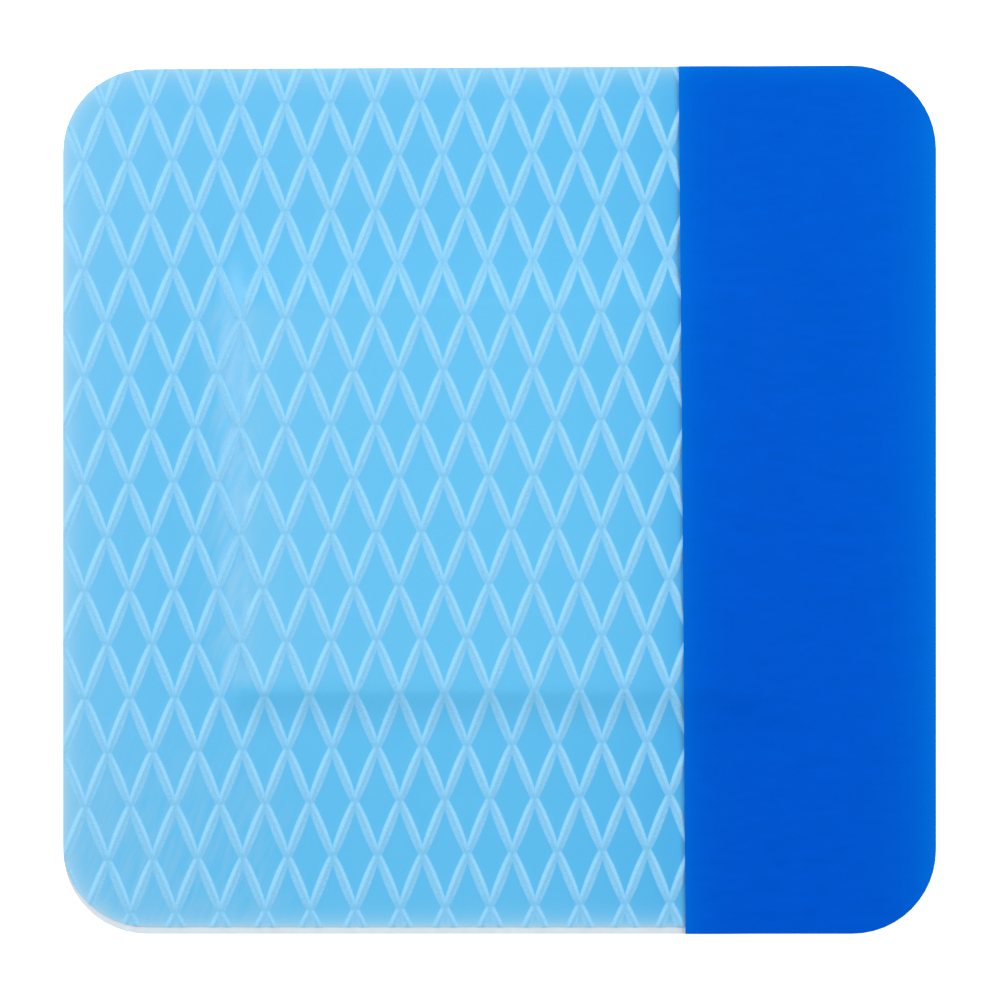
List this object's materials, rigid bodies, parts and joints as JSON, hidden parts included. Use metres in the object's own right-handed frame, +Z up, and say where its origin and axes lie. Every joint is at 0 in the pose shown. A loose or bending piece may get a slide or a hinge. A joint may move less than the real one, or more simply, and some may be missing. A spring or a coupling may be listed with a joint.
{
  "type": "adhesive plaster",
  "caption": "Square adhesive plaster with rounded corners and an absorbent island pad, under a diamond embossed release film and a plain grip strip.",
  "frame": {"origin": "centre of the outline, on the table that the backing lies on", "axes": "+X towards the dark blue grip strip, +Y up the sheet as in the picture, +Z up from the table through the liners"},
  "size_m": [0.1, 0.0994, 0.002],
  "materials": {
    "backing_film": "white non-woven carrier, fine matt fibres",
    "adhesive": "milky, soft and tacky",
    "pad_fleece": "white absorbent fleece, matt",
    "light_blue_film": "light blue release film with paler, frosted raised ribs, silky gloss",
    "dark_blue_film": "plain dark blue release film, satin"
  },
  "bodies": {
    "root": {"backing": "backing_film", "adhesive_layer": "adhesive", "wound_pad": "pad_fleece", "embossed_liner": "light_blue_film", "grip_liner": "dark_blue_film"}
  },
  "joints": []
}
